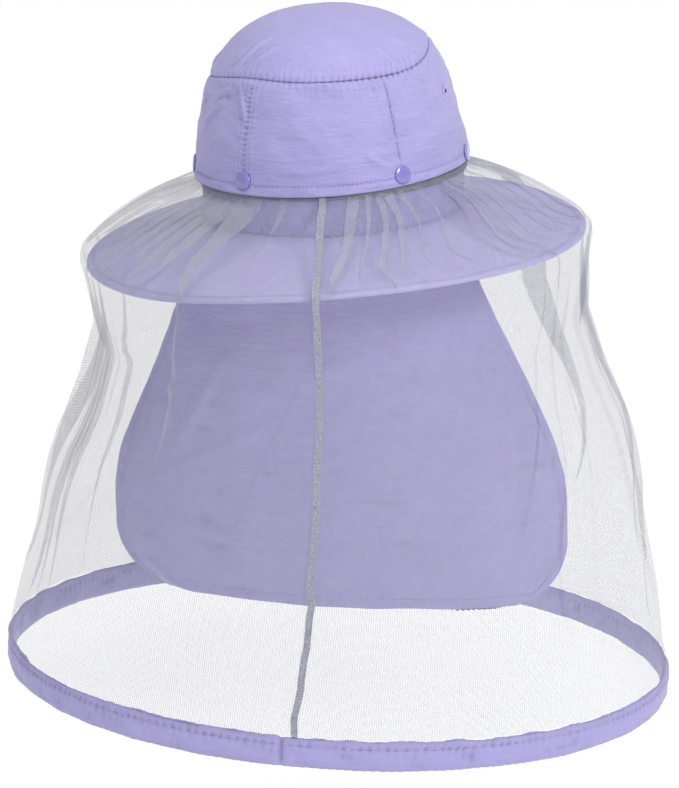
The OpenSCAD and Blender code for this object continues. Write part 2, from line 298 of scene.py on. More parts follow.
class Cloth:
    """Collects grids and stitches, and builds them as one mesh."""

    def __init__(self):
        self.points, self.normals, self.quads, self.uvs, self.slots, self.shades = [], [], [], [], [], []
        self.count = 0

    def add(self, points, normals, quads, uvs, slot, shade=None):
        self.points.append(points.reshape(-1, 3))
        self.shades.append(np.zeros(len(self.points[-1])) if shade is None else shade.ravel())
        self.normals.append(normals.reshape(-1, 3))
        self.quads.append(quads + self.count)
        self.uvs.append(uvs.reshape(-1, 2))
        self.slots.append(np.full(len(quads), slot))
        self.count += len(self.points[-1])

    def add_grid(self, grid, uvs, normals=None, closed=False, closed_rows=False, flip=False, keep=None,
                 shade=None):
        rows, cols = grid.shape[:2]
        if normals is None:
            normals = grid_normals(grid, closed, flip, closed_rows)
        r = np.arange(rows if closed_rows else rows - 1)[:, None]
        c = np.arange(cols if closed else cols - 1)[None, :]
        corners = [(r, c), (r, c + 1), (r + 1, c + 1), (r + 1, c)]
        if flip:
            corners.reverse()
        quads = np.stack(np.broadcast_arrays(*[(a % rows) * cols + b % cols for a, b in corners]), -1)
        last = uvs.shape[0] - 1
        corner_uvs = np.stack([uvs[np.minimum(a, last), b + 0 * a] for a, b in corners], 2)
        chosen = np.ones(quads.shape[:2], bool) if keep is None else keep
        self.add(grid, normals, quads[chosen], corner_uvs[chosen], 0, shade)

    def add_slab(self, outer, inner, uvs, flip=False, shade=None):
        """Two open grids joined along their edges into one closed sheet."""
        rows, cols = outer.shape[:2]
        front = self.count
        self.add_grid(outer, uvs, flip=flip, shade=shade)
        back = self.count
        self.add_grid(inner, uvs, flip=not flip, shade=shade)
        across, up = np.arange(cols), np.arange(rows) * cols
        loop = np.concatenate([across, up[1:] + cols - 1, (rows - 1) * cols + across[-2::-1], up[-2:0:-1]])
        after = np.roll(loop, -1)
        rim = np.stack([after + front, loop + front, loop + back, after + back], -1)
        corner_uvs = uvs.reshape(-1, 2)[np.stack([after, loop, loop, after], -1)]
        if flip:
            rim, corner_uvs = rim[:, ::-1], corner_uvs[:, ::-1]
        self.quads.append(rim)
        self.uvs.append(corner_uvs.reshape(-1, 2))
        self.slots.append(np.zeros(len(rim), int))

    def add_stitches(self, path, normals, pitch=3.0, fill=0.78, radius=0.3, slot=1):
        """Thread stitches along a line, each dipping into the cloth at its ends."""
        along = lengths(path)
        count = int(along[-1] // pitch)
        if not count:
            return
        middles = (np.arange(count) + 0.5) * pitch
        def at(where, values):
            return np.stack([np.interp(where, along, values[:, k]) for k in range(3)], -1)
        start, end = at(middles - fill * pitch / 2, path), at(middles + fill * pitch / 2, path)
        up = at(middles, normals)
        across = np.cross(end - start, up)
        across /= np.maximum(np.linalg.norm(across, axis=1, keepdims=True), 1e-9)
        ends, sides = np.array([-1, -0.75, 0, 0.75, 1.0]), 6
        girth = np.array([0.3, 0.8, 1, 0.8, 0.3])
        share = ((ends + 1) / 2)[None, :, None, None]
        line = start[:, None, None] * (1 - share) + end[:, None, None] * share
        around = np.arange(sides) * 2 * math.pi / sides
        out = (across[:, None, None] * np.cos(around)[None, None, :, None]
               + up[:, None, None] * np.sin(around)[None, None, :, None])
        rise = (girth - 0.75)[None, :, None, None] * up[:, None, None]
        points = line + radius * (girth[None, :, None, None] * out + rise)
        ring_count = len(ends)
        first = np.arange(count)[:, None, None] * ring_count * sides
        r, k = np.arange(ring_count - 1)[None, :, None] * sides, np.arange(sides)[None, None, :]
        after = (k + 1) % sides
        low, high = first + r, first + r + sides
        body = np.stack([low + k, high + k, high + after, low + after], -1)
        caps = np.array([[0, 1, 2, 3], [0, 3, 4, 5]])
        far = caps[:, ::-1] + (ring_count - 1) * sides
        quads = np.concatenate([part.reshape(-1, 4) for part in (body, first + caps, first + far)])
        normals = np.broadcast_to(out, points.shape)
        uvs = np.broadcast_to(np.array([[0, 0], [1, 0], [1, 1], [0, 1.0]]), (len(quads), 4, 2))
        self.add(points, normals, quads, uvs, slot)

    def build(self, name, materials, body=None, replaces=()):
        points, quads = np.concatenate(self.points), np.concatenate(self.quads)
        mesh = bpy.data.meshes.new(name)
        mesh.vertices.add(len(points))
        mesh.vertices.foreach_set("co", (points * MM).ravel())
        mesh.loops.add(quads.size)
        mesh.loops.foreach_set("vertex_index", quads.ravel().astype(np.int32))
        mesh.polygons.add(len(quads))
        mesh.polygons.foreach_set("loop_start", np.arange(0, quads.size, 4, dtype=np.int32))
        mesh.polygons.foreach_set("material_index", np.concatenate(self.slots).astype(np.int32))
        mesh.update(calc_edges=True)
        mesh.polygons.foreach_set("use_smooth", np.ones(len(quads), bool))
        uv_layer = mesh.uv_layers.new(name="pattern")
        uv_layer.data.foreach_set("uv", (np.concatenate(self.uvs) * MM).ravel())
        # The shade attribute holds painted shade for the creases and seams, by which the cloth's colour is
        # darkened.
        shade_layer = mesh.attributes.new("shade", "FLOAT", "POINT")
        shade_layer.data.foreach_set("value", np.concatenate(self.shades).astype(np.float32))
        for material in materials:
            mesh.materials.append(material)
        mesh.normals_split_custom_set_from_vertices(np.concatenate(self.normals))
        piece = bpy.data.objects.new(name, mesh)
        bpy.context.scene.collection.objects.link(piece)
        if body:
            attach(piece, body)
        if replaces:
            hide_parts(*replaces)
        return piece


# Materials
class Shader:
    """A Principled material and the nodes that feed it; pattern coordinates are in metres."""

    def __init__(self, name, **values):
        self.material = bpy.data.materials.new(name)
        self.material.use_nodes = True
        self.tree = self.material.node_tree
        self.surface = self.tree.nodes["Principled BSDF"]
        for socket, value in values.items():
            self.surface.inputs[socket.replace("_", " ")].default_value = value

    def node(self, kind, inputs, output=0, **settings):
        made = self.tree.nodes.new(kind)
        for key, value in settings.items():
            setattr(made, key, value)
        for socket, value in inputs.items():
            if isinstance(value, bpy.types.NodeSocket):
                self.tree.links.new(value, made.inputs[socket])
            else:
                made.inputs[socket].default_value = value
        return made.outputs[output]

    def pattern(self, scale):
        """Pattern coordinates, multiplied by scale in u and v."""
        uv = self.node("ShaderNodeUVMap", {}, uv_map="pattern")
        return self.node("ShaderNodeMapping", {"Vector": uv, "Scale": (*scale, 1)})

    def place(self, scale=1.0):
        """Object coordinates in metres, multiplied by scale."""
        where = self.node("ShaderNodeTexCoord", {}, output=3)
        return self.node("ShaderNodeMapping", {"Vector": where, "Scale": (scale,) * 3})

    def noise(self, vector, scale=1.0, detail=2.0, roughness=0.5):
        return self.node("ShaderNodeTexNoise", {"Vector": vector, "Scale": scale, "Detail": detail,
                                                "Roughness": roughness})

    def wave(self, vector, direction, distortion=0.0):
        """Bands one unit apart."""
        return self.node("ShaderNodeTexWave", {"Vector": vector, "Scale": 0.314, "Distortion": distortion},
                         output=1, bands_direction=direction)

    def math(self, operation, a, b=0.0):
        return self.node("ShaderNodeMath", {0: a, 1: b}, operation=operation)

    def range(self, value, low, high, to_low, to_high):
        return self.node("ShaderNodeMapRange", {"Value": value, "From Min": low, "From Max": high,
                                                "To Min": to_low, "To Max": to_high})

    def colours(self, value, low, high, painted_shade_amount=0.0):
        """A colour from low to high as value goes from 0.3 to 0.7, darkened by painted shade where the mesh's
        shade attribute marks creases, seams and grooves.
        """
        made = self.tree.nodes.new("ShaderNodeValToRGB")
        made.color_ramp.elements[0].position = 0.3
        made.color_ramp.elements[0].color = (*low, 1)
        made.color_ramp.elements[1].position = 0.7
        made.color_ramp.elements[1].color = (*high, 1)
        self.tree.links.new(value, made.inputs["Fac"])
        colour = made.outputs["Color"]
        # Painted shade: the colour is darkened by the shade attribute in the creases, seams and grooves,
        # where shade falls.
        if painted_shade_amount:
            depth = self.node("ShaderNodeAttribute", {}, output=2, attribute_name="shade")
            left = self.range(depth, 0, 1, 1, 1 - painted_shade_amount)
            colour = self.node("ShaderNodeVectorMath", {0: colour, "Scale": left}, operation="SCALE")
        self.feed("Base Color", colour)

    def feed(self, socket, value):
        self.tree.links.new(value, self.surface.inputs[socket])

    def bumps(self, *layers):
        """Each layer is (height, metres of relief)."""
        normal = None
        for height, relief in layers:
            inputs = {"Height": height, "Distance": relief, "Strength": 1.0}
            if normal is not None:
                inputs["Normal"] = normal
            normal = self.node("ShaderNodeBump", inputs)
        self.feed("Normal", normal)


def fabric(name, dark, light, weave=0.55, roughness=0.55, crinkle=0.0011):
    """Woven nylon: warp and weft threads, a crinkle that runs along the weft, uneven dye, and painted shade
    darkening its creases and seams.
    """
    shader = Shader(name, Sheen_Weight=0.25, Sheen_Roughness=0.45, Specular_IOR_Level=0.4)
    threads = 1 / (weave * MM)
    warp = shader.wave(shader.pattern((threads, threads)), "X", 0.6)
    weft = shader.wave(shader.pattern((threads, threads)), "Y", 0.6)
    cloth = shader.math("MULTIPLY", warp, weft)
    folds = shader.noise(shader.pattern((90, 340)), detail=4, roughness=0.62)
    slubs = shader.noise(shader.pattern((150, 1300)), detail=2)
    dye = shader.noise(shader.pattern((45, 60)), detail=3)
    tone = shader.math("ADD", shader.math("MULTIPLY", dye, 0.5), shader.math("MULTIPLY", slubs, 0.5))
    # Painted shade in the creases and seams, at most 42 percent darker.
    shader.colours(tone, dark, light, painted_shade_amount=0.42)
    shader.feed("Roughness", shader.range(slubs, 0.2, 0.8, roughness - 0.08, roughness + 0.08))
    shader.bumps((folds, crinkle), (slubs, 0.00012), (cloth, 0.00006))
    return shader.material


def thread(name, dark, light):
    """Twisted sewing thread."""
    shader = Shader(name, Sheen_Weight=0.2, Roughness=0.5)
    twist = shader.wave(shader.place(2500), "DIAGONAL", 1.0)
    tone = shader.noise(shader.place(900), detail=3)
    shader.colours(tone, dark, light)
    shader.bumps((twist, 0.0001))
    return shader.material


def net(name):
    """Fine hexagonal net: threads where three rows of waves cross low, holes between them."""
    shader = Shader(name, Roughness=0.6, Specular_IOR_Level=0.3)
    pitch, thread_level, blur = 1.65 * MM, -0.98, 0.12
    uv = shader.node("ShaderNodeUVMap", {}, uv_map="pattern")
    rows = []
    for turn in (0, 60, 120):
        wave = 2 * math.pi / (pitch * math.cos(math.radians(30)))
        direction = (wave * math.cos(math.radians(turn)), wave * math.sin(math.radians(turn)), 0)
        place = shader.node("ShaderNodeVectorMath", {0: uv, 1: direction}, output=1, operation="DOT_PRODUCT")
        rows.append(shader.math("COSINE", place))
    lattice = shader.math("ADD", shader.math("ADD", rows[0], rows[1]), rows[2])
    shader.feed("Alpha", shader.range(lattice, thread_level - blur, thread_level + blur, 1, 0))
    tone = shader.noise(shader.place(300), detail=3)
    shader.colours(tone, (0.46, 0.46, 0.51), (0.60, 0.60, 0.65))
    shader.bumps((lattice, 0.0002))
    return shader.material


def glossy_plastic(name):
    """Moulded press-stud plastic with faint flow marks and fine scratches."""
    shader = Shader(name, Coat_Weight=1.0, Coat_Roughness=0.08, Specular_IOR_Level=0.6)
    flow = shader.noise(shader.place(220), detail=3)
    lines = shader.node("ShaderNodeMapping", {"Vector": shader.place(), "Scale": (300, 300, 5000)})
    scratches = shader.noise(lines, detail=2)
    shader.colours(flow, (0.21, 0.195, 0.55), (0.24, 0.225, 0.60))
    shader.feed("Roughness", shader.range(scratches, 0.2, 0.8, 0.16, 0.3))
    shader.bumps((flow, 0.00008), (scratches, 0.00001))
    return shader.material


def ribbed(name, dark, light, rib=1.4):
    """Knitted elastic with ribs along its length."""
    shader = Shader(name, Roughness=0.75, Sheen_Weight=0.2)
    ribs = shader.wave(shader.pattern((1 / (rib * MM), 1 / (rib * MM))), "Y")
    loops = shader.wave(shader.pattern((1600, 1600)), "X", 0.4)
    shader.colours(shader.noise(shader.pattern((120, 120)), detail=3), dark, light)
    shader.bumps((ribs, 0.0003), (loops, 0.0001))
    return shader.material


LAVENDER = fabric("lavender_nylon", (0.355, 0.33, 0.64), (0.405, 0.38, 0.695))
# The brim's nylon is the lavender cloth made lighter on both faces: painted light on the brim.
LAVENDER_BRIM_PAINTED_LIGHT = fabric("brim_nylon_painted_lighter", (0.43, 0.41, 0.735), (0.48, 0.455, 0.785), crinkle=0.0005)
LINING = fabric("pale_lining_nylon", (0.45, 0.43, 0.70), (0.50, 0.48, 0.745), weave=0.45)
CORE = fabric("stiff_interlining", (0.62, 0.60, 0.74), (0.68, 0.66, 0.79), weave=0.9, roughness=0.8)
SEWING = thread("lavender_sewing_thread", (0.42, 0.39, 0.76), (0.50, 0.47, 0.84))
COVER_SEWING = thread("pinkish_sewing_thread", (0.46, 0.38, 0.66), (0.55, 0.46, 0.75))
GREY_SEWING = thread("grey_overlock_thread", (0.30, 0.30, 0.40), (0.60, 0.60, 0.68))
NET = net("hexagonal_net")
PLASTIC = glossy_plastic("violet_snap_plastic")
ELASTIC = ribbed("white_elastic", (0.72, 0.72, 0.73), (0.82, 0.82, 0.83))
# The net's binding is grey cloth, its colour made darker as painted shade for the dark gap between the cover
# and the net.
BINDING_WITH_PAINTED_SHADE = ribbed("grey_binding_with_painted_shade", (0.17, 0.17, 0.22), (0.25, 0.25, 0.30), rib=0.9)


# Crown
cover_side = evenly(curve((COVER_HALF_WIDTH, COVER_EDGE_Z), (COVER_HALF_WIDTH - 1.8, COVER_EDGE_Z + 17),
                          (TIP_HALF_WIDTH + 9.5, TIP_SEAM_Z - 17), (TIP_HALF_WIDTH, TIP_SEAM_Z), 60), 77)
cover_top = evenly(curve((TIP_HALF_WIDTH, TIP_SEAM_Z + 0.3), (TIP_HALF_WIDTH - 7, TIP_SEAM_Z + 14.5),
                         (TIP_HALF_WIDTH * 0.66, CROWN_HEIGHT - 0.5), (0.3, CROWN_HEIGHT), 60), 76)
SIDE_LENGTH = lengths(cover_side)[-1]
EYELET_HEIGHT = float(np.interp(EYELET_Z, cover_side[:, 1], lengths(cover_side)))
crown_line = np.vstack([cover_side, cover_top])
TOP_STITCH = 5.5
ALLOWANCE = 7.5
SNAP_HEIGHT = 8.1


def cover_width(z):
    """The cover's half width at a height above the brim seam."""
    return float(np.interp(z, cover_side[:, 1], cover_side[:, 0]))


def width_up(height):
    """The cover's half width by height along the cloth of its side."""
    return np.interp(height, lengths(cover_side), cover_side[:, 0])


def pull_axis(snap):
    """The direction in which a snap comes off, from its joint."""
    return next(joint for joint in frame["joints"] if joint["name"] == f"snap_{snap}_pull")["axis"]


def seam_height(angle):
    """How far up the crown's outline the top seam runs: it climbs at +X and sinks at -X."""
    climb = 15 * bell(angle_gap(angle, 1.65), 0.55) - 6 * bell(angle_gap(angle, -1.65), 0.5)
    return SIDE_LENGTH - 1 + climb + 2 * bell(angle_gap(angle, -0.65), 0.35)


def seam_gap(angle, seam, height, width):
    """Millimetres of cloth from a side seam; the seam at the back right leans towards the back."""
    lean = 3.5 * (height / SIDE_LENGTH) ** 2 if seam == SEAM_ANGLES[1] else 0
    return angle_gap(angle, seam) * width * OVAL_GIRTH + lean


def on_crown(angle, height):
    """Points of the cover's smooth shape by angle and by height along its outline."""
    along = lengths(crown_line)
    return ring(np.interp(height, along, crown_line[:, 0]), angle, np.interp(height, along, crown_line[:, 1]))


def seam_pucker(angle, away):
    """The drawn-in cloth on both sides of the cover's top seam, by angle and by distance from the seam."""
    turns = angle / (2 * math.pi)
    gather = 0.35 + 0.65 * step(noise(turns * 9, away * 0, 8, 9), -0.4, 0.5)
    wave = np.sin(angle * TIP_HALF_WIDTH * 1.43 + 2 * noise(turns * 50, away / 9, 9, 50))
    return 0.6 * gather * wave * np.exp(-away / 7) + 0.5 * bell(away - 3.5, 3) - 0.55 * bell(away, 1)


SIDE_CREASES = (((-76, 60), (-104, 40), 1.1), ((-70, 66), (-92, 58), 1.0), ((-62, 70), (-54, 44), 0.8),
                ((66, 68), (96, 52), 0.7), ((30, 24), (52, 12), 0.5), ((-20, 14), (22, 20), 0.3))


def side_relief(angle, height):
    """How far the cover's side stands out of its smooth shape, by angle and by height along the cloth."""
    width = width_up(height)
    x = angle * width * OVAL_GIRTH
    turns = angle / (2 * math.pi)
    out = 1.3 * noise(turns * 17 + height / 60, height / 30, 3, 17)
    out = out * (1 + 0.8 * bell(angle_gap(angle, -1.2), 0.5))
    out = out + 0.55 * noise(turns * 30, height / 8.5, 4, 30) + 0.3 * noise(turns * 66, height / 4.0, 5, 66)
    for seam in SEAM_ANGLES:
        gap = seam_gap(angle, seam, height, width)
        twin = seam < 0
        strength = 1.4 if twin else 0.5
        ripple = np.sin(2 * math.pi * height / 3.3 + 2.5 * noise(gap / 6, height / 9, 6))
        out = out + 0.3 * step(-np.abs(gap), -ALLOWANCE - 1, -ALLOWANCE + 1)
        out = out + 0.34 * strength * ripple * np.exp(-np.abs(gap) / 6)
        out = out - (0.4 if twin else 1.0) * bell(gap, 0.8)
    hem = height - TOP_STITCH
    out = out + 0.35 * step(-hem, -0.5, 1) - 0.5 * bell(hem, 0.8)
    out = out + 0.22 * np.sin(x * 2 + noise(turns * 60, height / 4, 7, 60) * 2) * np.exp(-np.abs(hem) / 2.5)
    below = seam_height(angle) - height
    out = add_creases(out, x, height, SIDE_CREASES, 2.4, gain=2)
    out = out * step(below, -1, 9) + seam_pucker(angle, below)
    calm = np.zeros_like(out)
    for snap in SNAP_ANGLES:
        gap = angle_gap(angle, snap) * width * OVAL_GIRTH
        calm = np.maximum(calm, bell(np.hypot(gap, height - SNAP_HEIGHT), 8.5))
    for eyelet in EYELET_ANGLES:
        gap = angle_gap(angle, eyelet) * width * OVAL_GIRTH
        away = np.hypot(gap, height - EYELET_HEIGHT)
        rays = np.sin(9 * np.arctan2(height - EYELET_HEIGHT, gap))
        out = out * (1 - bell(away, 5)) + 0.25 * rays * bell(away - 6, 3)
    return out * (1 - calm) - 0.15 * calm


def offset_grid(grid, normals, relief):
    return grid + normals * np.asarray(relief)[..., None]


# Painted shade in the cloth's creases and seams: how often the relief is blurred, the depth below the blur
# where the shade starts, and the depth over which it grows to full.
CAVITY_PASSES = 7
CAVITY_START = 0.12
CAVITY_RANGE = 0.5


def painted_cavity_shade(relief, closed=True):
    """How deep each point lies below the cloth round it, from 0 to 1; shallow dips count as 0. It is painted
    shade: the cloth's colour is darkened by it.
    """
    mean = relief
    for _ in range(CAVITY_PASSES):
        side = np.roll(mean, 1, 1) + np.roll(mean, -1, 1)
        if not closed:
            side[:, 0], side[:, -1] = 2 * mean[:, 0], 2 * mean[:, -1]
        rows = np.concatenate([mean[:1], mean[:-1]]) + np.concatenate([mean[1:], mean[-1:]])
        mean = (side + rows) / 4
    return np.clip((mean - relief - CAVITY_START) / CAVITY_RANGE, 0, 1)


def cover_edge_lift(angle, height):
    """The cover's lower edge dips at the centre back and rises at the sides, more towards +X."""
    lift = 2.6 * np.sin(angle) ** 2 + 1.8 * np.sin(angle) - 0.4
    return lift * np.clip(1 - height / 30, 0, 1)


def eyelet_holes(points):
    """Which points lie inside one of the ventilation holes."""
    inside = np.zeros(points.shape[:2], bool)
    for eyelet in EYELET_ANGLES:
        centre = ring(cover_width(EYELET_Z), eyelet, EYELET_Z)
        inside |= np.linalg.norm(points - centre, axis=-1) < EYELET_HOLE_RADIUS
    return inside


def blend_side(piece):
    """Bakes the panel's placement into its mesh."""
    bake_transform(piece)


# The cover's side is built as one panel for each snap, from the front left round the back
PANEL_BORDERS = (-180, -113, -57, 0, 57, 113, 180)
PANEL_SNAPS = (5, 6, 1, 2, 3, 4)
PANEL_NODES = {1: "cover_back_panel", 3: "cover_right_panel", 5: "cover_front_panel", 6: "cover_left_panel"}


def make_cover_side():
    angles = full_turn(COVER_COLS)[None, :]
    heights = np.linspace(0, 1, len(cover_side))[:, None] * seam_height(angles)
    grid = on_crown(angles, heights)
    grid = grid + UP * cover_edge_lift(angles, heights)[..., None]
    smooth = grid_normals(grid, True)
    relief = side_relief(angles, heights)
    outer = offset_grid(grid, smooth, relief)
    normals = grid_normals(outer, True)
    back = offset_grid(grid, smooth, relief * 0.5 - COVER_THICK - 0.15)[::4]
    fold = offset_grid(grid, smooth, relief * 0.5 - COVER_THICK / 2)[:1] - UP * 0.45
    width = float(pattern(grid, True)[0, -1, 0])
    # Rows run up the inside from the top, round the folded edge, and up the outside
    whole = np.concatenate([back[::-1], fold, outer])
    whole_normals = grid_normals(whole, True)
    # Painted shade in the creases and seams of the outer face; none on the inside or the fold.
    shade = np.concatenate([0 * back[..., 0], 0 * fold[..., 0], painted_cavity_shade(relief)])
    uv = pattern(whole, True, width)
    keep = ~eyelet_holes(whole)[:-1]
    bounds = np.searchsorted(np.degrees(angles[0]), PANEL_BORDERS)
    for first, last, snap in zip(bounds, bounds[1:], PANEL_SNAPS):
        columns = np.arange(first, last + 1) % COVER_COLS
        piece = Cloth()
        piece.add_grid(whole[:, columns], uv[:, first:last + 1], whole_normals[:, columns],
                       keep=keep[:, columns[:-1]], shade=shade[:, columns])
        sew_cover(piece, outer, normals, angles[0, first], angles[0, last - 1])
        made = piece.build(f"cover_side_{snap}", [LAVENDER, SEWING],
                           replaces=[PANEL_NODES[snap]] if snap in PANEL_NODES else ())
        blend_side(made)


def stitched_line(piece, grid, normals, rows, cols, **how):
    piece.add_stitches(sample(grid, rows, cols), sample(normals, rows, cols), **how)


def stitched_ring(piece, grid, normals, row, count, **how):
    """Stitches all the way round a closed grid, along one row that need not be whole."""
    columns = np.linspace(0, grid.shape[1], count)
    stitched_line(piece, grid, normals, np.full(count, row), columns, **how)


def sew_cover(piece, outer, normals, first, last):
    """The cover's edge stitching and its twin-needle seams, where they fall between two angles."""
    rows_per_mm = (len(outer) - 1) / SIDE_LENGTH
    cols_per_radian = outer.shape[1] / (2 * math.pi)
    angles = np.linspace(first, last, 120)
    stitched_line(piece, outer, normals, np.full(120, TOP_STITCH * rows_per_mm),
                  (angles + math.pi) * cols_per_radian, pitch=2.9)
    heights = np.linspace(TOP_STITCH + 2, SIDE_LENGTH - 3, 60)
    width = width_up(heights)
    for seam in SEAM_ANGLES:
        if first < seam < last:
            middle = seam - seam_gap(seam, seam, heights, width) / (width * OVAL_GIRTH)
            for gap in (-6.6, -3, 3, 6.6) if seam < 0 else (-3, 3):
                columns = (middle + gap / (width * OVAL_GIRTH) + math.pi) * cols_per_radian
                stitched_line(piece, outer, normals, heights * rows_per_mm, columns, pitch=2.7, radius=0.26)


TOP_CREASES = (((-72, 2), (-50, 34), 1.5), ((-62, 1), (-36, 26), 1.1), ((-84, 3), (-70, 22), 0.9),
               ((62, 2), (50, 22), 0.8), ((92, 3), (70, 26), 0.9), ((-130, 2), (-110, 24), 0.9))


def make_cover_top():
    angles = full_turn(COVER_COLS)[None, :]
    share = np.linspace(0, 1, len(cover_top))[:, None]
    start = seam_height(angles) + 0.3
    along = share * (lengths(crown_line)[-1] - start)
    grid = on_crown(angles, start + along)
    smooth = grid_normals(grid, True)
    x, y = grid[..., 0], grid[..., 1]
    out = 1.1 * noise(x / 38 + 50, y / 46 + 50, 11) + 0.5 * noise(x / 17 + 50, y / 11 + 50, 12)
    out = out + 0.2 * noise(x / 7 + 50, y / 4.5 + 50, 13)
    arc = angles * TIP_HALF_WIDTH * OVAL_GIRTH
    out = add_creases(out, arc, along, TOP_CREASES, 2.4, gain=1.4)
    out = out * step(along, -1, 9) + seam_pucker(angles, along)
    fade = 1 - bell(np.hypot(x, y), 3)
    outer = offset_grid(grid, smooth, out * fade)
    inner = offset_grid(grid, smooth, out * 0.5 * fade - COVER_THICK)[::3]
    piece = Cloth()
    whole = np.concatenate([inner[::-1], outer])
    uv = np.stack([whole[..., 0], whole[..., 1]], -1)
    uv = np.concatenate([uv, uv[:, :1]], 1)
    # Painted shade in the creases and along the seam of the outer face; none on the inside.
    shade = np.concatenate([0 * inner[..., 0], painted_cavity_shade(out * fade)])
    piece.add_grid(whole, uv, closed=True, shade=shade)
    stitched_ring(piece, outer, grid_normals(outer, True), 2.6, 900, pitch=2.8, radius=0.26)
    piece.build("cover_top", [LAVENDER, SEWING], "hat", ["cover_top_panel"])


def lining_line():
    tip = (LINING_TIP_WIDTH, TIP_SEAM_Z - 2)
    side = curve((LINING_HALF_WIDTH, COVER_EDGE_Z), (LINING_HALF_WIDTH - 2, COVER_EDGE_Z + 18),
                 (tip[0] + 8.4, tip[1] - 17), tip, 30)
    top = curve((tip[0], tip[1] + 0.3), (tip[0] - 7, tip[1] + 14.5),
                (tip[0] * 0.66, CROWN_HEIGHT - 3.5), (0.3, CROWN_HEIGHT - 3), 30)
    wall = np.array([[LINING_HALF_WIDTH, z] for z in np.linspace(-1.2, COVER_EDGE_Z - 1, 10)])
    return evenly(np.vstack([wall, side, top]), 110)


def make_inner_crown():
    line = lining_line()
    along = lengths(line)[:, None]
    angles = full_turn(LINING_COLS)[None, :]
    turns = angles / (2 * math.pi)
    grid = ring(line[:, :1], angles, line[:, 1:])
    smooth = grid_normals(grid, True)
    low = 1 - step(along, 20, 34)
    crumple = 0.8 * noise(turns * 40, along / 11, 21, 40) + 0.45 * noise(turns * 90, along / 5, 22, 90)
    out = low * (crumple - 0.3)
    gathers = np.sin(turns * 2 * math.pi * 130 + 3 * noise(turns * 30, along / 9, 23, 30))
    out = out + low * 0.5 * gathers * np.exp(-along / 6)
    out = out * (1 - step(along, 21, 26) * 0.8) - 0.9 * bell(along, 1.2)
    outer = offset_grid(grid, smooth, out)
    inner = offset_grid(grid, smooth, -LINING_THICK + 0.25 * noise(turns * 24, along / 18, 24, 24))[::2]
    # The seam between the inner crown's side and top shows inside as a pressed-down ridge
    for seam in SEAM_ANGLES:
        gap = angle_gap(angles, seam) * line[::2, :1]
        inner = inner - grid_normals(inner, True) * (0.5 * bell(gap, 2.5))[..., None]
    whole = np.concatenate([inner[::-1], outer])
    # Painted shade in the crumples and gathers of the outer face; none on the inside.
    shade = np.concatenate([0 * inner[..., 0], painted_cavity_shade(out)])
    piece = Cloth()
    piece.add_grid(whole, pattern(whole, True), closed=True, shade=shade)
    piece.build("inner_crown", [LAVENDER], "hat",
                ["inner_crown_top", "inner_back_panel", "inner_front_panel", "inner_left_panel",
                 "inner_right_panel"])


def make_sweatband():
    angles = full_turn(LINING_COLS)[None, :]
    turns = angles / (2 * math.pi)
    z = np.linspace(band_low[2], band_high[2], 26)[:, None]
    outer = ring(band_high[0], angles, z + 0 * angles)
    wave = 0.25 * noise(turns * 30, z / 8, 31, 30) + 0.12 * np.sin(turns * 2 * math.pi * 150) * bell(z - 4, 3)
    inner = ring(band_high[0] - 1.2 - 0.2 * bell(z - 24, 1.5) + wave, angles, z + 0 * angles)
    whole = np.concatenate([outer, inner[::-1]])
    piece = Cloth()
    piece.add_grid(whole, pattern(whole, True), closed=True)
    normals = grid_normals(inner, True, flip=True)
    for height in (3.5, 22.0):
        stitched_ring(piece, inner, normals, height, 700, pitch=3.1)
    piece.build("sweatband_ring", [LINING, SEWING], "hat", ["sweatband"])


def make_eyelets():
    """Satin-stitched rings: threads laid close together round each ventilation hole."""
    piece = Cloth()
    around, across = full_turn(144, 0), full_turn(10, 0)
    for eyelet in EYELET_ANGLES:
        centre = ring(cover_width(EYELET_Z), eyelet, EYELET_Z)
        out = np.array([math.sin(eyelet), -math.cos(eyelet) / OVAL, 0.18])
        out /= np.linalg.norm(out)
        radial = circle_round(out, around)
        rib = 1 + 0.14 * np.cos(around * 36)
        tube = 1.05 * rib[None, :, None]
        grid = (centre + out * 0.15 + EYELET_RING_RADIUS * radial[None]
                + tube * np.cos(across)[:, None, None] * radial[None]
                + 0.6 * tube * np.sin(across)[:, None, None] * out)
        uv = on_grid(np.linspace(0, 18, len(around) + 1), np.linspace(0, 6, len(across) + 1))
        piece.add_grid(grid, uv, closed=True, closed_rows=True, flip=True)
    piece.build("eyelet_stitching", [SEWING], "hat", ["vent_eyelets"])


# Brim
BRIM_ROOT = LINING_HALF_WIDTH - LINING_THICK - 0.2
BRIM_THICK = 3.2
BRIM_STITCH = 5


def brim_surface(half_width, angle):
    """The brim's upper face, drooping a little at the sides and gently waved."""
    share = (half_width - BRIM_ROOT) / (BRIM_HALF_WIDTH - BRIM_ROOT)
    turns = angle / (2 * math.pi)
    droop = 5 * np.sin(angle) ** 2 - 3.5 * np.sin(angle) + 3.5 * bell(angle_gap(angle, -0.75), 0.6)
    z = BRIM_TOP_Z - BRIM_DROP * share - droop * share**2
    z = z + share * (1.2 * noise(turns * 8, share, 41, 8) + 0.5 * noise(turns * 19, share * 2, 42, 19))
    return ring(half_width, angle, z)


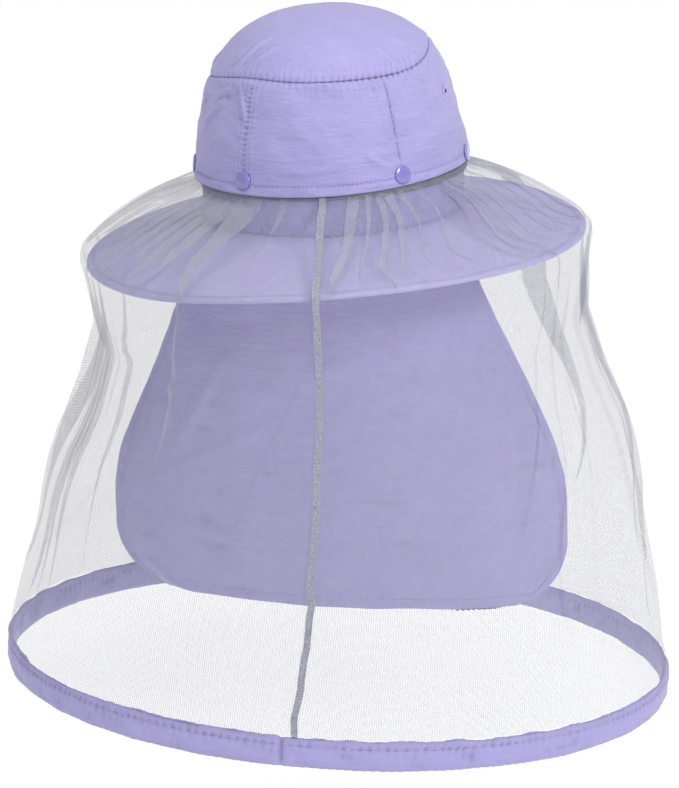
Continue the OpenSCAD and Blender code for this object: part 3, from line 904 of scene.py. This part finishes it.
def brim_relief(half_width, angle):
    share = half_width - BRIM_ROOT
    turns = angle / (2 * math.pi)
    edge = BRIM_HALF_WIDTH - half_width
    out = 0.22 * noise(turns * 120, share / 5, 43, 120) + 0.35 * noise(turns * 44, share / 13, 44, 44)
    gathers = np.sin(turns * 2 * math.pi * 110 + 3 * noise(turns * 40, share / 6, 45, 40))
    out = out + 0.5 * gathers * np.exp(-share / 5)
    out = out - 0.6 * bell(edge - BRIM_STITCH, 0.9) - 0.15 * bell(edge - 2.5, 2)
    out = out + 0.12 * np.sin(turns * 2 * math.pi * 330) * np.exp(-np.abs(edge - BRIM_STITCH) / 2.5)
    for seam in (-math.pi / 2, math.pi / 2):
        gap = angle_gap(angle, seam) * half_width * OVAL
        ripple = np.sin(share * 1.7 + 2 * noise(gap / 5, share / 7, 46))
        out = out - 0.9 * bell(gap, 0.9) + 0.3 * ripple * np.exp(-np.abs(gap) / 4)
    return out * step(share, -1, 2)


def make_brim():
    angles = full_turn(BRIM_COLS)[None, :]
    round_edge = BRIM_THICK / 2
    flat = np.linspace(BRIM_ROOT, BRIM_HALF_WIDTH - round_edge, 52)[:, None]
    top = brim_surface(flat, angles)
    relief = brim_relief(flat, angles)
    upper = top + UP * relief[..., None]
    lower = top - UP * (BRIM_THICK + relief * 0.8)[..., None]
    turn = np.linspace(0, math.pi / 2, 5)[1:, None]
    rim = BRIM_HALF_WIDTH - round_edge
    edge_top = brim_surface(rim + round_edge * np.sin(turn), angles)
    rim_z = brim_surface(np.full((1, 1), rim), angles)[..., 2]
    def rounded(sign):
        grid = edge_top.copy()
        grid[..., 2] = rim_z - round_edge + sign * round_edge * np.cos(turn)
        return grid
    upper = np.concatenate([upper, rounded(1)])
    lower = np.concatenate([lower, rounded(-1)])
    pieces = ((upper, True, "brim_upper_face", ["brim_upper_back", "brim_upper_front"]),
              (lower, False, "brim_lower_face", ["brim_lower_back", "brim_lower_front"]))
    for grid, flip, name, nodes in pieces:
        piece = Cloth()
        # Painted shade in the brim's gathers, seams and stitch groove; none on its rounded edge.
        shade = np.concatenate([painted_cavity_shade(relief), np.zeros((len(turn), BRIM_COLS))])
        piece.add_grid(grid, pattern(grid, True), closed=True, flip=flip, shade=shade)
        normals = grid_normals(grid, True, flip=flip)
        row = (BRIM_HALF_WIDTH - BRIM_STITCH - BRIM_ROOT) / (rim - BRIM_ROOT) * (len(flat) - 1)
        stitched_ring(piece, grid, normals, row, 1400, pitch=3.2, radius=0.27)
        piece.build(name, [LAVENDER_BRIM_PAINTED_LIGHT, SEWING], "hat", nodes)
    make_stiffener(angles[:, ::2])


def make_stiffener(angles):
    core_width = np.linspace(BRIM_ROOT + 0.5, BRIM_HALF_WIDTH - 2.2, 30)[:, None]
    middle = brim_surface(core_width, angles) - UP * 0.9
    whole = np.concatenate([middle, (middle - UP * 1.3)[::-1]])
    piece = Cloth()
    piece.add_grid(whole, pattern(whole, True), closed=True, closed_rows=True, flip=True)
    piece.build("brim_stiffener", [CORE], "hat",
                ["brim_interlining_back", "brim_interlining_front"])


# Neck flap
def flap_point(u, share):
    """The flap's outer face: u runs from -1 to 1 between its side edges, share from 0 to 1 down it."""
    top = FLAP_TOP_WIDTH * math.sin(FLAP_TOP_ANGLE)
    flare = np.minimum(1, share / FLAP_WIDEST)
    flare = 0.35 * np.sin(math.pi / 2 * flare) + 0.65 * step(flare, 0, 1)
    half_width = top + (FLAP_HALF_WIDTH - top) * flare
    below = np.clip((share * FLAP_LENGTH - FLAP_LENGTH + FLAP_CORNER) / FLAP_CORNER, 0, 1)
    half_width = half_width - FLAP_CORNER * (1 - np.sqrt(np.maximum(0, 1 - below**2)))
    turn = FLAP_TOP_ANGLE * u
    hang = np.sqrt(share)
    x = half_width * (u * hang + np.sin(turn) / math.sin(FLAP_TOP_ANGLE) * (1 - hang))
    depth = FLAP_BACK_DEPTH - (FLAP_BACK_DEPTH - FLAP_SIDE_DEPTH) * (x / FLAP_HALF_WIDTH) ** 2
    y = -(depth * hang + OVAL * FLAP_TOP_WIDTH * np.cos(turn) * (1 - hang))
    z = FLAP_TOP_Z - share * FLAP_LENGTH - math.tan(FLAP_TILT) * x * share
    return np.stack(np.broadcast_arrays(x - FLAP_SHIFT * share, y, z), -1), half_width


FLAP_CREASES = (((-60, 60), (-112, 150), 1.6), ((20, 40), (90, 120), 1.2), ((-30, 150), (60, 170), 0.8),
                ((-120, 190), (-60, 205), 1.0), ((88, 60), (120, 150), 1.8), ((-20, 90), (30, 70), 0.9))


def make_flap():
    u = np.linspace(-1, 1, FLAP_COLS)[None, :]
    corner_rows = np.sin(np.linspace(0, math.pi / 2, 26)[1:])
    straight = 1 - FLAP_CORNER / FLAP_LENGTH
    share = np.concatenate([np.linspace(0, straight, 120), straight + (1 - straight) * corner_rows])[:, None]
    share = np.minimum(share, 0.99995)
    grid, half_width = flap_point(u, share)
    down = share * FLAP_LENGTH
    x = grid[..., 0]
    edge = np.minimum(half_width * (1 - np.abs(u)), FLAP_LENGTH - down)
    loose = step(down, 5, 90)
    out = loose * (4.5 * noise(x / 46 + 20, down / 210 + 4, 51) + 1.3 * noise(x / 22 + 20, down / 60, 52))
    out = out + 0.5 * noise(x / 22 + 20, down / 9, 53) + 0.2 * noise(x / 11 + 40, down / 4.5, 54)
    out = out + (1 - loose) * 0.9 * np.sin(x / 4.2 + 2 * noise(x / 20 + 9, down / 20, 55)) * bell(down, 22)
    out = add_creases(out, x, down, FLAP_CREASES, 5, gain=1.6)
    out = out + 0.35 * step(-edge, -6, -5) - 0.5 * bell(edge - FLAP_STITCH, 0.9)
    ripple = np.sin(x * 1.8 + down * 1.6)
    out = out + 0.12 * ripple * np.exp(-np.abs(edge - FLAP_STITCH) / 2.5)
    curl = step(-half_width * (1 + u), -26, 0) * step(down, 40, 130) * 9
    smooth = grid_normals(grid, False, flip=True)
    outer = offset_grid(grid, smooth, out - curl)
    inner = offset_grid(outer, grid_normals(outer, False, flip=True), -1.0)
    piece = Cloth()
    # Painted shade in the flap's creases and along its stitch groove.
    piece.add_slab(outer, inner, np.stack([half_width * u + 200, down + 0 * u], -1), flip=True,
                   shade=painted_cavity_shade(out, closed=False))
    sew_flap(piece, outer, inner, share[:, 0], half_width[:, 0])
    made = piece.build("neck_flap_cloth", [LAVENDER, SEWING], "flap", ["neck_flap"])


def sew_flap(piece, outer, inner, share, half_width):
    """A line of stitches along the flap's sides and bottom, on both faces."""
    normals = grid_normals(outer, False, flip=True)
    turn = np.linspace(0, math.pi / 2, 30)
    corner = np.stack([FLAP_HALF_WIDTH - FLAP_CORNER + (FLAP_CORNER - FLAP_STITCH) * np.cos(turn),
                       FLAP_LENGTH - FLAP_CORNER + (FLAP_CORNER - FLAP_STITCH) * np.sin(turn)], -1)
    sides = np.linspace(8, FLAP_LENGTH - FLAP_CORNER, 60)
    side = np.stack([flap_point(np.ones(60), sides / FLAP_LENGTH)[1] - FLAP_STITCH, sides], -1)
    bottom = np.stack([np.linspace(FLAP_HALF_WIDTH - FLAP_CORNER, 0, 40),
                       np.full(40, FLAP_LENGTH - FLAP_STITCH)], -1)
    half = np.vstack([side, corner, bottom])
    outline = np.vstack([half, half[::-1] * (-1, 1)])
    row_at = np.interp(outline[:, 1] / FLAP_LENGTH, share, np.arange(len(share)))
    widths = np.interp(row_at, np.arange(len(share)), half_width)
    col_at = np.clip((outline[:, 0] / widths + 1) * (FLAP_COLS - 1) / 2, 1, FLAP_COLS - 2)
    stitched_line(piece, outer, normals, row_at, col_at, pitch=3.1)
    stitched_line(piece, inner, -normals, row_at, col_at, pitch=3.1)


# Snaps
# A cap's outline from its shank to the middle of its dome: radius and height along the pull
CAP_OUTLINE = np.array([[1.2, -1.5], [1.2, 0.2], [5.4, 0.25], [5.85, 0.35], [6.0, 0.7], [5.95, 1.05],
                        [5.6, 1.35], [4.8, 1.62], [3.6, 1.85], [2.4, 1.99], [1.2, 2.06], [0.05, 2.1]])


def make_snap_caps():
    """Domed caps with a rolled rim, on their own bodies."""
    line = evenly(CAP_OUTLINE, 40)
    for number, angle in enumerate(SNAP_ANGLES, 1):
        axis = np.array(pull_axis(number))
        centre = ring(cover_width(SNAP_Z), angle, SNAP_Z)
        radial = circle_round(axis, full_turn(64, 0))
        grid = centre + line[:, :1, None] * radial[None] + line[:, 1:, None] * axis
        piece = Cloth()
        piece.add_grid(grid, pattern(grid, True), closed=True)
        piece.build(f"snap_dome_{number}", [PLASTIC], f"snap_{number}",
                    [f"snap_cap_{number}"])


# Net
hem_top_z = HEM_Z + 0.5
skirt_heights = np.array([HEM_Z, -250, -200, -150, -115, -80, SKIRT_TOP_Z])
skirt_widths = np.array([HEM_HALF_WIDTH - 2.5, 222, 208, 192, 176, 165, BRIM_HALF_WIDTH + 2.3])
skirt_depth_heights = np.array([HEM_Z, -150, -80, SKIRT_TOP_Z])
skirt_depths = np.array([HEM_HALF_DEPTH - 2, 184, 184, OVAL * (BRIM_HALF_WIDTH + 2.3)])
TIP = BRIM_HALF_WIDTH + 3
yoke_back = np.vstack([
    [[LINING_HALF_WIDTH + 1.6, binding_low[2] + 2], [LINING_HALF_WIDTH + 4.5, binding_low[2] - 4.5]],
    curve((BRIM_HALF_WIDTH - 65, 12.9), (BRIM_HALF_WIDTH - 45, 4), (BRIM_HALF_WIDTH - 20, -7),
          (BRIM_HALF_WIDTH - 2, 2.6 - BRIM_DROP), 12),
    [[TIP, -BRIM_DROP - 1], [TIP + 0.5, -BRIM_DROP - 8], [BRIM_HALF_WIDTH + 2.3, SKIRT_TOP_Z]]])
yoke_side = np.vstack([
    [[LINING_HALF_WIDTH + 1.6, binding_low[2] + 2]],
    curve((LINING_HALF_WIDTH + 6, binding_low[2] - 1), (LINING_HALF_WIDTH + 35, 12),
          (BRIM_HALF_WIDTH - 24, 3), (BRIM_HALF_WIDTH - 1, -BRIM_DROP - 1), 12),
    [[TIP, -BRIM_DROP - 4], [TIP + 0.5, -BRIM_DROP - 9], [BRIM_HALF_WIDTH + 2.3, SKIRT_TOP_Z]]])
NET_ROWS = 170
YOKE_ROWS = 72
PLEATS = 44
YOKE_LENGTH = 112
SKIRT_LENGTH = 323
NET_LENGTH = YOKE_LENGTH + SKIRT_LENGTH


def sway(z):
    return np.maximum(0, (SKIRT_TOP_Z - z) / (SKIRT_TOP_Z - HEM_Z)) ** 1.5


def net_point(angle, down):
    """The net's smooth shape at an angle, down millimetres of net below its top."""
    angle, down = np.broadcast_arrays(angle, down)
    tented = np.sin(angle) ** 2
    share = np.clip(down / YOKE_LENGTH, 0, 1)
    def on(line, k):
        return np.interp(share, lengths(line) / lengths(line)[-1], line[:, k])
    width = on(yoke_back, 0) * (1 - tented) + on(yoke_side, 0) * tented
    z = on(yoke_back, 1) * (1 - tented) + on(yoke_side, 1) * tented
    over = ring(width, angle, z)
    fall = np.clip((down - YOKE_LENGTH) / SKIRT_LENGTH, 0, 1)
    z = SKIRT_TOP_Z + (hem_top_z - SKIRT_TOP_Z) * fall
    bulge = 5 * np.sin(math.pi * fall) ** 2
    x = (np.interp(z, skirt_heights, skirt_widths)
         + bulge * noise(angle / (2 * math.pi) * 9, fall * 4, 61, 9)) * np.sin(angle)
    y = -(np.interp(z, skirt_depth_heights, skirt_depths)
          + bulge * noise(angle / (2 * math.pi) * 9, fall * 4, 62, 9)) * np.cos(angle)
    hanging = np.stack([x - VEIL_SHIFT * sway(z), y, z - math.tan(VEIL_TILT) * sway(z) * x], -1)
    return np.where((down < YOKE_LENGTH)[..., None], over, hanging)


def smooth_rows(values, passes):
    for _ in range(passes):
        values = (np.roll(values, 1, 1) + 2 * values + np.roll(values, -1, 1)) / 4
    return values


MOST_TUCKED = 2.2


def net_folds(down, across):
    """Row by row, the net's spare width goes into flat pleats where the shape below it is narrower.

    Returns each point's angle and how far it would stand off the smooth shape."""
    turns = across / NET_WIDTH
    angle = turns * 2 * math.pi
    skirt = step(down, YOKE_LENGTH - 12, YOKE_LENGTH + 40)
    warp = 2.2 * noise(turns * 9, down / 300, 71, 9) + 0.1 * noise(turns * 24, down / 60, 72, 24)
    warp = warp + 1.6 * np.sin(2 * angle + 1) * step(down, YOKE_LENGTH, NET_LENGTH)
    phase = 2 * math.pi * (PLEATS * turns + warp)
    width = 0.2 + 0.1 * (1 - step(down, 5, 70)) + 0.06 * noise(turns * PLEATS, down / 90, 73, PLEATS)
    pleat = step(np.cos(phase) - np.cos(math.pi * width), -0.16, 0.16)
    number = np.round(phase / (2 * math.pi)).astype(int) % PLEATS
    luck = np.random.default_rng(74).uniform(0, 1, PLEATS)[number]
    gathered = 1 - step(down, 8, 75)
    chosen = luck**3 * (1 - gathered) + (0.4 + 0.6 * luck) * gathered
    back = np.minimum(bell(angle, 0.8) + 0.7 * bell(angle_gap(angle, math.pi), 0.9), 1)
    strength = chosen * (1 - 0.85 * skirt * back) * (1 - bell(across, 15))
    rim = net_point(full_turn(360)[None, :], down)
    girth = np.linalg.norm(rim - np.roll(rim, 1, 1), axis=-1).sum(1, keepdims=True)
    wanted = np.minimum(girth / NET_WIDTH, 0.995)
    low, high = np.zeros_like(wanted), np.full_like(wanted, 12.0)
    for _ in range(24):
        middle = (low + high) / 2
        left = 1 - np.clip(middle * strength, 0, MOST_TUCKED) * pleat
        spare = left.mean(1, keepdims=True) > wanted
        low, high = np.where(spare, middle, low), np.where(spare, high, middle)
    tucked = np.clip(low * strength, 0, MOST_TUCKED) * pleat
    cell = NET_WIDTH / NET_COLS
    forward = np.cumsum(1 - tucked, 1)
    share = forward / forward[:, -1:]
    middle_column = NET_COLS // 2
    share = share - share[:, middle_column:middle_column + 1]
    rise = np.cumsum(tucked - tucked.mean(1, keepdims=True), 1) * cell
    return share * 2 * math.pi, rise - smooth_rows(rise, 500)


NET_CREASES = (((-190, 128), (-60, 205), 3.2), ((-205, 134), (-95, 188), 2.4), ((-120, 250), (-10, 178), 2.4),
               ((180, 130), (60, 225), 3.2), ((205, 140), (95, 300), 2.6), ((-60, 120), (-15, 60), 1.4),
               ((70, 40), (125, 92), 1.4))
GUIDE_COLS = 720


def make_net():
    across = np.linspace(-NET_WIDTH / 2, NET_WIDTH / 2, NET_COLS, endpoint=False)[None, :]
    down = np.concatenate([np.linspace(0, YOKE_LENGTH + 30, YOKE_ROWS, endpoint=False),
                           np.linspace(YOKE_LENGTH + 30, NET_LENGTH, NET_ROWS - YOKE_ROWS)])[:, None]
    angle, off = net_folds(down, across)
    fall = np.clip((down - YOKE_LENGTH) / SKIRT_LENGTH, 0, 1)
    angle = angle - SEAM_WANDER * fall**1.95
    base = net_point(angle, down)
    smooth = net_point(full_turn(GUIDE_COLS)[None, :], down)
    normals = sample(grid_normals(smooth, True, flip=True),
                     np.broadcast_to(np.arange(NET_ROWS)[:, None], angle.shape).astype(float),
                     (angle + math.pi) / (2 * math.pi) * GUIDE_COLS)
    on_brim = 1 - step(down, YOKE_LENGTH - 6, YOKE_LENGTH + 28)
    x = angle * 180
    over = np.maximum(off * 0.2 + 1.3, 0.3) * step(down, 0, 26)
    loose = 0.5 * off + 5 * step(down, YOKE_LENGTH, YOKE_LENGTH + 80) * noise(x / 62 + 9, down / 120, 75)
    off = on_brim * over + (1 - on_brim) * loose
    off = off * (1 - 0.5 * bell(down - YOKE_LENGTH - 4, 22))
    off = off * (1 - step(down, NET_LENGTH - 30, NET_LENGTH))
    off = add_creases(off, x, down, NET_CREASES, 3.4)
    grid = base + normals * off[..., None]
    uv = on_grid(np.linspace(0, NET_WIDTH, NET_COLS + 1), down[:, 0])
    piece = Cloth()
    piece.add_grid(grid, uv, closed=True, flip=True)
    made = piece.build("net_veil", [NET], replaces=["net_yoke", "net_skirt"])
    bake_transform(made)
    seam = make_net_seam(grid, normals)


def make_net_seam(grid, normals):
    """The overlocked seam down the back: a flat strip wrapped in loops of thread."""
    middle = NET_COLS // 2
    half = NET_SEAM_WIDTH / 2
    line, out = grid[:, middle], normals[:, middle]
    rows = np.linspace(0, NET_ROWS - 1, 520)
    line = np.stack([np.interp(rows, np.arange(NET_ROWS), line[:, k]) for k in range(3)], -1)
    out = np.stack([np.interp(rows, np.arange(NET_ROWS), out[:, k]) for k in range(3)], -1)
    side = np.cross(np.gradient(line, axis=0), out)
    side /= -np.linalg.norm(side, axis=1, keepdims=True)
    along = lengths(line)
    sway_side = 1.4 * noise(along / 32, along * 0, 81) + 0.6 * noise(along / 10, along * 0, 82)
    sway_side = sway_side * (0.6 + 0.8 * step(along, YOKE_LENGTH, NET_LENGTH))
    line = line + side * sway_side[:, None]
    place = np.array([-1, -0.96, -0.7, -0.35, 0, 0.35, 0.7, 0.96, 1])[None, :, None] * half
    crown = 0.5 * np.cos(np.linspace(-1, 1, 9) * 1.45)[None, :, None]
    rough = 0.12 * noise(along[:, None] / 1.6, place[..., 0] / 1.2 + 9, 83)[..., None]
    top = line[:, None] + side[:, None] * place + out[:, None] * (0.45 + crown + rough)
    bottom = line[:, None] + side[:, None] * place + out[:, None] * 0.25
    piece = Cloth()
    ribbon = np.concatenate([top, bottom[:, ::-1]], 1)
    piece.add_grid(ribbon, pattern(ribbon, True), closed=True, flip=True)
    normals = np.broadcast_to(out, line.shape)
    wave = along / 3.0 * 2 * math.pi
    for place_mm, swing in ((-1.9, 0.0), (1.9, 0.0), (0, 2.0)):
        path = line + side * (place_mm + swing * np.sin(wave))[:, None] + out * 1.05
        piece.add_stitches(path, normals, pitch=1.9, fill=0.9, radius=0.44)
    made = piece.build("net_back_seam", [GREY_SEWING, GREY_SEWING],
                       replaces=["net_back_seam_upper", "net_back_seam_lower"])
    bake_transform(made)
    return made


def make_binding():
    angles = full_turn(BAND_COLS)[None, :]
    turn = full_turn(16, 0)[:, None]
    z = (binding_low[2] + binding_high[2]) / 2 + 2.6 * squared(np.sin(turn), 0.6)
    gathers = 0.12 * np.sin(angles * 170) + 0.1 * noise(angles / (2 * math.pi) * 90, z / 3, 91, 90)
    width = (LINING_HALF_WIDTH + 1.25) + (0.6 + gathers) * squared(np.cos(turn), 0.6)
    grid = ring(width, angles, z)
    piece = Cloth()
    piece.add_grid(grid, wrapped_pattern(grid), closed=True, closed_rows=True)
    piece.build("net_binding", [BINDING_WITH_PAINTED_SHADE], "hat", ["net_top_binding"])


def wrapped_pattern(grid):
    """UVs of a tube that closes both ways."""
    rows, cols = grid.shape[:2]
    length = lengths(np.vstack([grid[0], grid[0, :1]]))[-1]
    girth = lengths(np.vstack([grid[:, 0], grid[:1, 0]]))[-1]
    return on_grid(np.linspace(0, length, cols + 1), np.linspace(0, girth, rows + 1))


# Hem
def on_hem(angle, out, z):
    """Points of the hem: out is measured from its outer face, z from its upper edge."""
    angle, out, z = np.broadcast_arrays(angle, out, z)
    x, y = (HEM_HALF_WIDTH + out) * np.sin(angle), -(HEM_HALF_DEPTH + out) * np.cos(angle)
    cos, sin = math.cos(VEIL_TILT), math.sin(VEIL_TILT)
    return np.stack([x * cos + z * sin - VEIL_SHIFT, y, z * cos - x * sin + HEM_Z], -1)


def band_profile(count, inset=0.0):
    """A flat oval round the hem's cross-section, as (out, z)."""
    turn = full_turn(count, 0)
    out = -HEM_THICK / 2 + (HEM_THICK / 2 - inset) * squared(np.cos(turn), 0.75)
    z = -HEM_HEIGHT / 2 + (HEM_HEIGHT / 2 - inset) * squared(np.sin(turn), 0.55)
    return out[:, None], z[:, None]


HEM_JOINT = math.radians(-6)


def make_hem():
    angles = full_turn(HEM_COLS)[None, :]
    turns = angles / (2 * math.pi)
    out, z = band_profile(44)
    face = np.sign(out + HEM_THICK / 2) + 0 * angles
    smooth = on_hem(angles, out, z)
    normals = grid_normals(smooth, True, closed_rows=True)
    relief = 1.0 * noise(turns * 80 + 0.35 * z / 10, z / 9 + 7 * (face > 0), 92, 80)
    relief = relief + 0.35 * noise(turns * 230, z / 5 + 7 * (face > 0), 93, 230)
    ruche = np.sin(2 * math.pi * 250 * turns + 3 * noise(turns * 60, z / 8, 94, 60))
    stitch_gap = z + HEM_STITCH
    relief = relief + 0.4 * ruche * np.exp(-np.abs(stitch_gap) / 4) - 0.4 * bell(stitch_gap, 1.2)
    relief = relief + 0.3 * ruche * np.exp(-np.abs(z + HEM_HEIGHT) / 3)
    joint = (angles - HEM_JOINT) * HEM_HALF_WIDTH
    relief = relief - 0.9 * bell(joint, 1.2) + 0.4 * bell(np.abs(joint) - 5, 3)
    relief = np.maximum(relief * (1 - 0.6 * bell(z + HEM_HEIGHT, 3)), -0.9)
    grid = offset_grid(smooth, normals, relief - 0.35)
    piece = Cloth()
    surface = grid_normals(grid, True, closed_rows=True)
    # Painted shade in the hem's ruches and along its stitch groove.
    piece.add_grid(grid, wrapped_pattern(grid), normals=surface, closed=True, closed_rows=True,
                   shade=painted_cavity_shade(relief))
    sew_hem(piece, grid, surface, out[:, 0], z[:, 0])
    piece.build("hem_casing_cloth", [LAVENDER, COVER_SEWING], "veil_hem", ["hem_casing"])
    make_elastic()


def sew_hem(piece, grid, normals, out, z):
    """Two lines of stitches round the hem's outer face, and a zigzag between them."""
    outside = np.arange(len(out))[(out > -HEM_THICK / 2) & (np.abs(z) < 12)]
    order = outside[np.argsort(z[outside])]
    def row_at(height):
        return np.interp(height, z[order], order.astype(float))
    for height in (-HEM_STITCH - 0.9, -HEM_STITCH + 0.9):
        stitched_ring(piece, grid, normals, row_at(height), 2600, pitch=2.7)
    wave = np.linspace(0, HEM_COLS, 5200)
    zigzag = row_at(-HEM_STITCH + 0.8 * np.sin(wave * 2 * math.pi / 2.6))
    stitched_line(piece, grid, normals, zigzag, wave, pitch=1.9, radius=0.24, fill=0.9)


def make_elastic():
    angles = full_turn(BAND_COLS)[None, :]
    out, z = band_profile(24, 2.05)
    ribs = 0.12 * np.sin(z * 2 * math.pi / 1.4)
    grid = on_hem(angles, out + ribs, z)
    piece = Cloth()
    piece.add_grid(grid, wrapped_pattern(grid), closed=True, closed_rows=True)
    piece.build("hem_elastic_band", [ELASTIC], "veil_hem", ["hem_elastic"])


# Stage
def make_stage():
    """A wide pale floor, and soft light from above and both sides."""
    floor_z = float(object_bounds()[0].z) - 0.001
    reach = np.array([-12.0, 12.0])
    grid = np.stack(np.broadcast_arrays(reach[None, :], reach[:, None], floor_z), -1) / MM
    shader = Shader("pale_floor", Roughness=0.9, Specular_IOR_Level=0.1)
    shader.colours(shader.noise(shader.place(6), detail=3), (0.24, 0.24, 0.24), (0.26, 0.26, 0.26))
    shader.surface.inputs["Emission Color"].default_value = (1, 1, 1, 1)
    shader.surface.inputs["Emission Strength"].default_value = 0.87
    floor = Cloth()
    floor.add_grid(grid, pattern(grid, False))
    floor.build("floor", [shader.material])
    world = bpy.data.worlds.new("studio")
    bpy.context.scene.world = world
    world.use_nodes = True
    world.node_tree.nodes["Background"].inputs["Color"].default_value = (1, 1, 1, 1)
    world.node_tree.nodes["Background"].inputs["Strength"].default_value = 0.44
    lights = (("key", (1.5, -1.6, 1.15), 0.8, 28), ("fill", (-1.6, -1.6, 0.5), 1.4, 3),
              ("top", (0.1, -0.2, 2.0), 1.2, 18))
    for name, place, size, power in lights:
        data = bpy.data.lights.new(name, "AREA")
        data.shape, data.size, data.energy = "DISK", size, power
        light = bpy.data.objects.new(name, data)
        light.location = place
        aim = Vector((0, 0, -0.1)) - Vector(place)
        light.rotation_euler = aim.to_track_quat("-Z", "Y").to_euler()
        bpy.context.scene.collection.objects.link(light)
    bpy.context.scene.view_settings.view_transform = "Standard"


def finish_hardware():
    """The snaps' sockets, studs and rivets keep their shape and get the moulded plastic."""
    hardware = [f"snap_socket_{n}" for n in range(1, 7)] + ["snap_studs", "snap_rivets"]
    for name in hardware:
        node = frame["nodes"][name]
        node.data.materials.clear()
        node.data.materials.append(PLASTIC)


make_cover_side()
make_cover_top()
make_inner_crown()
make_sweatband()
make_eyelets()
make_brim()
make_flap()
make_snap_caps()
make_binding()
make_net()
make_hem()
finish_hardware()
make_stage()
